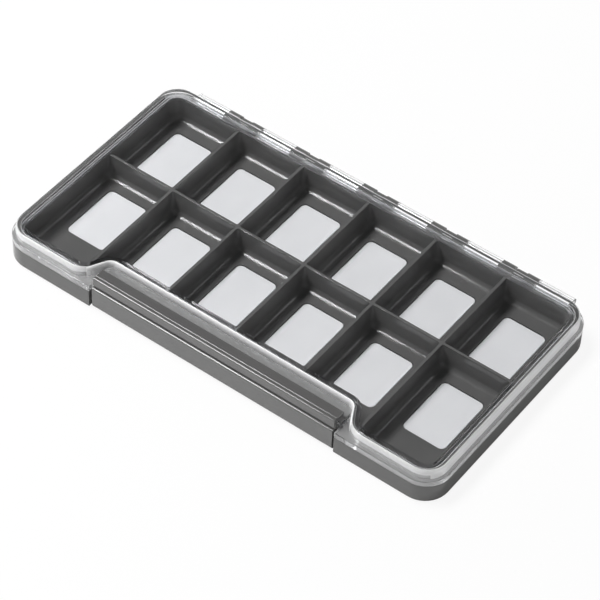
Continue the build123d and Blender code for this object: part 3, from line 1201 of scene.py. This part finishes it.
@dataclass
class Lid:
    """The clear moulding with its flange, stepped top, latch ledge and knuckles."""

    plan: Plan
    hinge: HingeLine
    foot: float = 8.55
    flange_top: float = 10.9
    flange_step: float = 1.3
    flange_edge: float = 0.3
    crown: Pair = (0.8, 2.1)
    crown_sink: float = 1.0
    crown_tilt: Pair = (0.02, 0.98)
    crown_slack: float = 0.05
    endwise: float = 0.7
    plate: float = 1.3
    face: float = 2.95
    clearance: float = 0.25
    hollow_edge: float = 0.4
    over: float = 2.0
    ledge_depth: float = 3.6
    ledge_top: float = 12.2
    ledge_wall: float = 1.6
    ledge_edge: float = 0.25
    bead: Pair = (0.8, 0.55)
    bead_inset: float = 1.0
    bead_edge: float = 0.2
    seal_inside: float = 0.4
    seal_outside: float = 0.05
    # how far past the latch recess the white painted reflection reaches
    frost_reach: float = 4.0

    @property
    def ceiling(self) -> float:
        """Height of the underside of the top plate."""
        return self.plan.top - self.plate

    @property
    def ledge_front(self) -> float:
        """Y of the front of the ledge that the latch hooks over."""
        return -self.plan.back + self.ledge_depth

    @property
    def ledge_foot(self) -> float:
        """Height of the underside of the ledge."""
        return self.ledge_top - self.ledge_wall

    def shell(self) -> Piece:
        """Make the flange with the raised top on it.

        Returns:
            The two as one solid.
        """
        plan = self.plan
        piece = Bench.raised(plan.rounded("lid_clear", self.foot, 12), self.flange_top - self.foot)
        Bench.rim(piece, self.flange_top, self.flange_edge)
        width, height = self.crown
        stretch = height / width
        foot, crest = (self.flange_top - self.crown_sink) / stretch, plan.top / stretch
        top = plan.stepped("raised_top", self.face, plan.rim - self.flange_step, foot, 10)
        Bench.rim(Bench.raised(top, crest - foot), crest, width, 8)
        Bench.join(piece, Bench.settle("raised_top", (1.0, 1.0, stretch)), Join.ADD)
        return piece

    def ledge(self, piece: Piece) -> None:
        """Add the ledge behind the latch and open the front of the lid for the latch.

        Args:
            piece: The lid.
        """
        plan, half = self.plan, self.plan.recess_half
        shelf = Bench.block(
            "shelf", (-half, self.ledge_front, self.ledge_foot), (half, plan.latch_wall, self.ledge_top)
        )
        with Editing(shelf) as edit:
            edit.pick(Pick.EDGE, lambda edge: runs(edge, 1) and at(edge, z=self.ledge_top))
            edit.bevel(self.ledge_edge)
        Bench.join(piece, shelf, Join.ADD)
        Bench.cut(piece, (-half, -OUTSIDE, 0.0), (half, self.ledge_front, CLEAR))

    def hollow(self, piece: Piece) -> None:
        """Hollow the lid out from below round the sealing wall, and under the ledge.

        Args:
            piece: The lid.
        """
        plan, half = self.plan, self.plan.recess_half
        bottom = self.foot - self.over
        sleeve = plan.sealing("sleeve", plan.wall + self.clearance, bottom)
        Bench.raised(sleeve, self.ceiling - bottom)
        Bench.rim(sleeve, self.ceiling, self.hollow_edge)
        Bench.join(piece, sleeve, Join.CUT)
        low = (-half, self.ledge_front + self.ledge_wall, bottom)
        Bench.cut(piece, low, (half, plan.latch_wall, self.ledge_foot))

    def ledge_bead(self, piece: Piece) -> None:
        """Add the bead along the front of the ledge, which the latch hooks behind.

        Args:
            piece: The lid.
        """
        half, front = self.plan.recess_half - self.bead_inset, self.ledge_front
        width, height = self.bead
        crest = self.ledge_top + height
        bead = Bench.block("bead", (-half, front, self.ledge_top - width), (half, front + width, crest))
        with Editing(bead) as edit:
            edit.pick(Pick.EDGE, lambda edge: runs(edge, 0) and at(edge, z=crest))
            edit.bevel(self.bead_edge, 3)
        Bench.join(piece, bead, Join.ADD)

    def make(self) -> Piece:
        """Make the whole lid.

        Returns:
            The lid.
        """
        piece = self.shell()
        self.ledge(piece)
        self.hollow(piece)
        self.ledge_bead(piece)
        for x, width in self.hinge.knuckles:
            Bench.join(piece, self.hinge.barrel("knuckle", x, width, lid=True), Join.ADD)
        self.hinge.bore(piece, self.hinge.wire + self.hinge.running)
        return Bench.smooth(piece)

    def shine(self, piece: Piece, face: bpy.types.MeshPolygon) -> Shine:
        """Tell which clear plastic one face of the finished lid takes, some of them whiter as painted
        reflection.

        Args:
            piece: The finished lid.
            face: One of its faces.

        Returns:
            The clear plastic for the face: polished, or a less clear one whose near-white base is painted
                reflection.
        """
        heights = [piece.data.vertices[point].co.z / MM for point in face.vertices]
        x, y, z = (part / MM for part in face.center)
        upright = abs(face.normal.z) < UPRIGHT
        behind_latch = abs(x) < self.plan.recess_half + self.frost_reach and y < 0.0
        crown_foot = self.plan.top - self.crown[1]
        least, most = self.crown_tilt
        # the raised top's sloped rounds: white painted reflection behind the latch, pale painted reflection
        # elsewhere
        if min(heights) > crown_foot - self.crown_slack and least < face.normal.z < most:
            return Shine.FROSTED if behind_latch else Shine.SATIN
        # the raised top's upright sides: white painted reflection behind the latch, pale at the ends, faint
        # along the long sides
        if close(max(heights), crown_foot, self.crown_slack) and upright:
            if behind_latch:
                return Shine.FROSTED
            return Shine.SATIN if abs(face.normal.x) > self.endwise else Shine.HAZY
        # faint painted reflection on the ledge and flange tops, the flange's sides and the hollow's walls
        level = (close(z, self.ledge_top) or close(z, self.flange_top)) and face.normal.z > ALONG
        walls = (self.flange_top - self.flange_edge, self.ceiling - self.hollow_edge)
        wall = any(close(max(heights), top) for top in walls) and upright
        return Shine.HAZY if level or wall else Shine.POLISHED

    def finish(self, piece: Piece) -> None:
        """Give every face of the finished lid its clear plastic, the less clear ones as painted reflection.
        """
        for face in piece.data.polygons:
            face.material_index = list(Shine).index(self.shine(piece, face))


@dataclass
class Seal:
    """The soft ring under the lid."""

    lid: Lid
    gap: float = 0.15
    edge: float = 0.18
    seat: float = 0.02

    def make(self) -> Piece:
        """Make the ring with its foot rounded.

        Returns:
            The ring.
        """
        lid, plan = self.lid, self.lid.plan
        foot = plan.wall_top + self.gap
        outside = plan.wall + lid.seal_outside
        piece = plan.sealing("seal_ring", outside, foot)
        with Editing(piece) as edit:
            edit.pick(Pick.FACE)
            bpy.ops.mesh.inset(thickness=(outside + lid.seal_inside) * MM, use_even_offset=True)
            bpy.ops.mesh.delete(type="FACE")
        Bench.raised(piece, lid.ceiling - self.seat - foot)
        Bench.rim(piece, foot, self.edge, 3)
        return Bench.smooth(piece)


@dataclass
class Latch:
    """The long bar that turns on two short pins and hooks over the lid's ledge."""

    plan: Plan
    half: float = 52.9
    face: float = -49.45
    pivot_z: float = 2.35
    barrel: float = 2.1
    barrel_sides: int = 64
    wall: float = 1.8
    step: float = 0.9
    step_z: float = 10.6
    groove: float = 0.4
    plate: float = 1.9
    reach: float = 5.7
    bead: Pair = (1.0, 0.6)
    bead_edge: float = 0.3
    line: Pair = (0.16, 0.045)
    line_inset: float = 1.6
    line_flare: Pair = (0.05, 2.0)
    edge: float = 0.5
    end_edge: float = 0.15
    bore_keep: float = 1.2
    running: float = 0.05
    over: float = 1.0
    pin_radius: float = 0.8
    pin_reach: float = 5.0
    pin_hold: float = 4.0
    pin_gap: float = 0.3
    pin_edge: float = 0.2

    @property
    def pivot(self) -> Pair:
        """Y and Z of the latch's axis."""
        return self.face + self.barrel, self.pivot_z

    def bar(self) -> Piece:
        """Shape the bar's section along its length.

        Returns:
            The bar, without its barrel.
        """
        top, under = self.plan.top, self.plan.top - self.plate
        upper, low_back = self.face + self.step, self.face + self.wall
        slot, back, tip = upper + self.groove, upper + self.wall, upper + self.reach
        hook, bead_foot = tip - self.bead[0], under - self.bead[1]
        knee = self.step_z - 2 * self.step
        piece = Bench.block("latch_bar", (-self.half, self.face, self.pivot_z), (self.half, low_back, knee))
        with Editing(piece) as edit:
            edit.pick(Pick.FACE, lambda face: at(face, z=knee))
            edit.extrude((0.0, 0.0, self.step))
            edit.pick(Pick.EDGE, lambda edge: at(edge, y=low_back, z=knee + self.step))
            edit.move((0.0, self.step, 0.0))
            edit.pick(Pick.FACE, lambda face: at(face, z=knee + self.step))
            edit.extrude((0.0, 0.0, self.step))
            edit.slice((0.0, slot, 0.0), (0.0, 1.0, 0.0))
            edit.pick(Pick.FACE, lambda face: at(face, z=self.step_z) and middle(face).y > slot)
            for rise in (self.groove, under - self.step_z - self.groove, self.plate):
                edit.extrude((0.0, 0.0, rise))
            shelf = self.step_z + self.groove
            edit.pick(
                Pick.FACE,
                lambda face: at(face, y=slot) and face.normal.y < -ALONG and middle(face).z > shelf,
            )
            edit.extrude((0.0, -self.groove, 0.0))
            edit.pick(Pick.FACE, lambda face: at(face, y=back) and middle(face).z > under)
            for run in (hook - back, self.bead[0]):
                edit.extrude((0.0, run, 0.0))
            edit.pick(Pick.FACE, lambda face: at(face, z=under) and middle(face).y > hook)
            edit.extrude((0.0, 0.0, -self.bead[1]))
            edit.turn_faces_out()
            rounds = (
                (self.face, self.step_z, self.edge),
                (upper, top, self.edge),
                (tip, top, self.edge),
                (tip, bead_foot, self.bead_edge),
                (hook, bead_foot, self.bead_edge),
            )
            for y, z, radius in rounds:
                edit.pick(Pick.EDGE, lambda edge: runs(edge, 0) and at(edge, y=y, z=z))
                edit.bevel(radius)
        return piece

    def fine_line(self) -> Piece:
        """Shape the V that is cut along the top plate.

        Returns:
            The tool that cuts it.
        """
        y, top = self.face + self.step + self.line_inset, self.plan.top
        half, (width, depth) = self.half + self.over, self.line
        tool = Bench.block("line", (-half, y - width / 2, top - depth), (half, y + width / 2, top + depth))
        with Editing(tool) as edit:
            for height, share in zip((top - depth, top + depth), self.line_flare):
                edit.pick(Pick.FACE, lambda face: at(face, z=height))
                edit.widen((1.0, share, 1.0))
        return tool

    def make(self) -> Piece:
        """Make the whole latch.

        Returns:
            The latch.
        """
        piece = self.bar()
        barrel = Bench.rod("barrel", self.barrel, (-self.half, *self.pivot), 2 * self.half, self.barrel_sides)
        Bench.join(piece, barrel, Join.ADD)
        Bench.join(piece, self.fine_line(), Join.CUT)
        length = self.pin_reach + self.pin_gap + self.over
        for left in (-self.half - self.over, self.half + self.over - length):
            Bench.drill(piece, self.pin_radius + self.running, (left, *self.pivot), length)
        with Editing(piece) as edit:
            edit.pick(
                Pick.EDGE,
                lambda edge: at(edge, x=self.half)
                and folded(edge)
                and (Vector(self.pivot) - middle(edge).yz).length > self.bore_keep,
            )
            edit.bevel(self.end_edge, 2)
        return Bench.smooth(piece)

    def pins(self) -> dict[str, Piece]:
        """Make the two short pins.

        Returns:
            The pins by side.
        """
        length = self.pin_reach + self.pin_hold + self.plan.recess_half - self.half
        inner = self.half - self.pin_reach
        pins = {}
        for name, left in (("left", -inner - length), ("right", inner)):
            piece = Bench.rod(f"latch_wire_{name}", self.pin_radius, (left, *self.pivot), length)
            with Editing(piece) as edit:
                edit.pick(Pick.EDGE, folded)
                edit.bevel(self.pin_edge, 2)
            pins[name] = Bench.smooth(piece)
        return pins


class LampShape(Enum):
    """Outline of a lamp's face."""

    BOX = "RECTANGLE"
    OVAL = "ELLIPSE"


@dataclass(frozen=True)
class Lamp:
    """A soft lamp: where it hangs and its size in metres, and how bright it is, where 1 is white."""

    name: str
    place: Point
    size: Pair
    glow: float
    shape: LampShape = LampShape.BOX
    aimed: bool = True


@dataclass
class Studio:
    """Pale floor, soft light and the camera. The floor's size and the camera's view are in metres."""

    azimuth: float = 34.686
    elevation: float = 47.681
    roll: float = 2.791
    distance: float = 981.7
    lens: float = 164.7
    sensor: float = 36.0
    clip: Pair = (0.01, 20.0)
    target: Point = (3.87, -1.65, 2.0)
    floor_size: float = 8.0
    floor_z: float = -0.1
    paper: float = 0.93
    paper_roughness: float = 0.9
    paper_sheen: float = 0.2
    paper_share: float = 0.9
    wall_top: Pair = (0.2, 0.5)
    ceiling: float = 0.08
    lamps: tuple[Lamp, ...] = (
        Lamp("key", (-0.65, -0.3, 1.2), (0.48, 1.1), 17.2, LampShape.OVAL, aimed=False),
        Lamp("back_panel", (0.35, 0.75, 1.05), (0.5, 0.3), 1.5),
    )

    def camera(self) -> None:
        """Set the camera on its target with a slight roll."""
        turn, rise, roll = (math.radians(part) for part in (self.azimuth, self.elevation, self.roll))
        back = Vector((math.sin(turn) * math.cos(rise), -math.cos(turn) * math.cos(rise), math.sin(rise)))
        right = Vector((math.cos(turn), math.sin(turn), 0.0))
        up = back.cross(right)
        across = math.cos(roll) * right + math.sin(roll) * up
        upright = -math.sin(roll) * right + math.cos(roll) * up
        data = bpy.data.cameras.new("camera")
        data.lens = self.lens
        data.sensor_width = self.sensor
        data.clip_start, data.clip_end = self.clip
        camera = bpy.data.objects.new("camera", data)
        bpy.context.scene.collection.objects.link(camera)
        camera.matrix_world = Matrix((across, upright, back)).transposed().to_4x4()
        camera.location = (Vector(self.target) + back * self.distance) * MM
        bpy.context.scene.camera = camera

    def floor(self) -> None:
        """Lay the pale floor just under the tray."""
        Bench.clear()
        bpy.ops.mesh.primitive_plane_add(size=self.floor_size, location=(0.0, 0.0, self.floor_z * MM))
        floor = bpy.context.object
        floor.name = "floor"
        recipe = Recipe("floor")
        recipe.fill(
            recipe.shader,
            Base_Color=(self.paper, self.paper, self.paper, 1.0),
            Roughness=self.paper_roughness,
            Specular_IOR_Level=self.paper_sheen,
        )
        glow = recipe.add("Emission", Color=WHITE, Strength=1.0).outputs["Emission"]
        share = recipe.reckon(Reckon.TIMES, recipe.rays("Camera", "Transmission"), self.paper_share)
        recipe.mix(share, recipe.shader.outputs["BSDF"], glow)
        floor.data.materials.append(recipe.material)

    def sky(self) -> None:
        """Surround the box with pale walls under a dim ceiling, and show white behind it."""
        world = bpy.data.worlds.new("studio")
        bpy.context.scene.world = world
        tree = Tree(world)
        way = tree.add("TexCoord").outputs["Generated"]
        height = tree.add("SeparateXYZ", Vector=way).outputs["Z"]
        low, high = self.wall_top
        dim = tree.add("MapRange", From_Min=low, From_Max=high, To_Min=1.0, To_Max=self.ceiling, Value=height)
        dim.interpolation_type = "SMOOTHSTEP"
        room = tree.nodes["Background"]
        tree.fill(room, Color=WHITE, Strength=dim.outputs["Result"])
        white = tree.add("Background", Color=WHITE, Strength=1.0)
        seen = tree.add("LightPath").outputs["Is Camera Ray"]
        tree.mix(seen, room.outputs["Background"], white.outputs["Background"])

    def hang(self, lamp: Lamp) -> None:
        """Hang one lamp, level or turned to the middle of the tray.

        Args:
            lamp: The lamp.
        """
        width, length = lamp.size
        area = width * length * (math.pi / 4 if lamp.shape is LampShape.OVAL else 1.0)
        data = bpy.data.lights.new(lamp.name, "AREA")
        data.shape = lamp.shape.value
        data.size, data.size_y = lamp.size
        data.energy = lamp.glow * math.pi * area
        hung = bpy.data.objects.new(lamp.name, data)
        bpy.context.scene.collection.objects.link(hung)
        hung.location = lamp.place
        if lamp.aimed:
            hung.rotation_euler = (-Vector(lamp.place)).to_track_quat("-Z", "Y").to_euler()

    def make(self) -> None:
        """Set up the whole studio."""
        self.camera()
        self.floor()
        self.sky()
        for lamp in self.lamps:
            self.hang(lamp)
        bpy.context.scene.view_settings.view_transform = "Standard"


def place(piece: Piece, node: str, body: Body, slot: str, *finishes: bpy.types.Material) -> None:
    """Dress a finished piece, tie it to its body and hide the CAD node that it stands for.

    Args:
        piece: The finished piece.
        node: The CAD node that it replaces.
        body: The body that it moves with.
        slot: Not used.
        finishes: Its finish, or one for each kind of face.
    """
    piece.data.materials.clear()
    for finish in finishes:
        piece.data.materials.append(finish)
    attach(piece, body.value)
    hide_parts(node)
    LOG.info("%s: %d faces, rides on %s", piece.name, len(piece.data.polygons), body.value)


def main() -> None:
    """Build the box piece by piece, then light and frame it."""
    logging.basicConfig(level=logging.INFO, format="%(name)s %(message)s")
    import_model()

    plan = Plan()
    hinge = HingeLine(plan)
    tray = Tray(plan, hinge)
    lid = Lid(plan, hinge)
    latch = Latch(plan)
    wire = DrawnWire().material()
    sheet = MagnetSheet().material()

    place(tray.make(), "base_tray", Body.BASE, "tray", moulded("tray", 0.125, 0.5).material())
    for name, pad in Pads(tray).make().items():
        place(pad, f"magnet_pad_{name}", Body.BASE, "pad", sheet)
    place(hinge.pin(), "lid_hinge_pin", Body.BASE, "pin", wire)
    for side, pin in latch.pins().items():
        place(pin, f"latch_pin_{side}", Body.BASE, "pin", wire)
    cover = lid.make()
    place(cover, "lid", Body.LID, "clear_lid", *(ClearPlastic(shine).material() for shine in Shine))
    lid.finish(cover)
    place(Seal(lid).make(), "lid_seal", Body.LID, "seal", Silicone().material())
    place(latch.make(), "latch", Body.LATCH, "latch", moulded("latch", 0.112, 0.95).material())

    Studio().make()


if __name__ == "__main__":
    main()
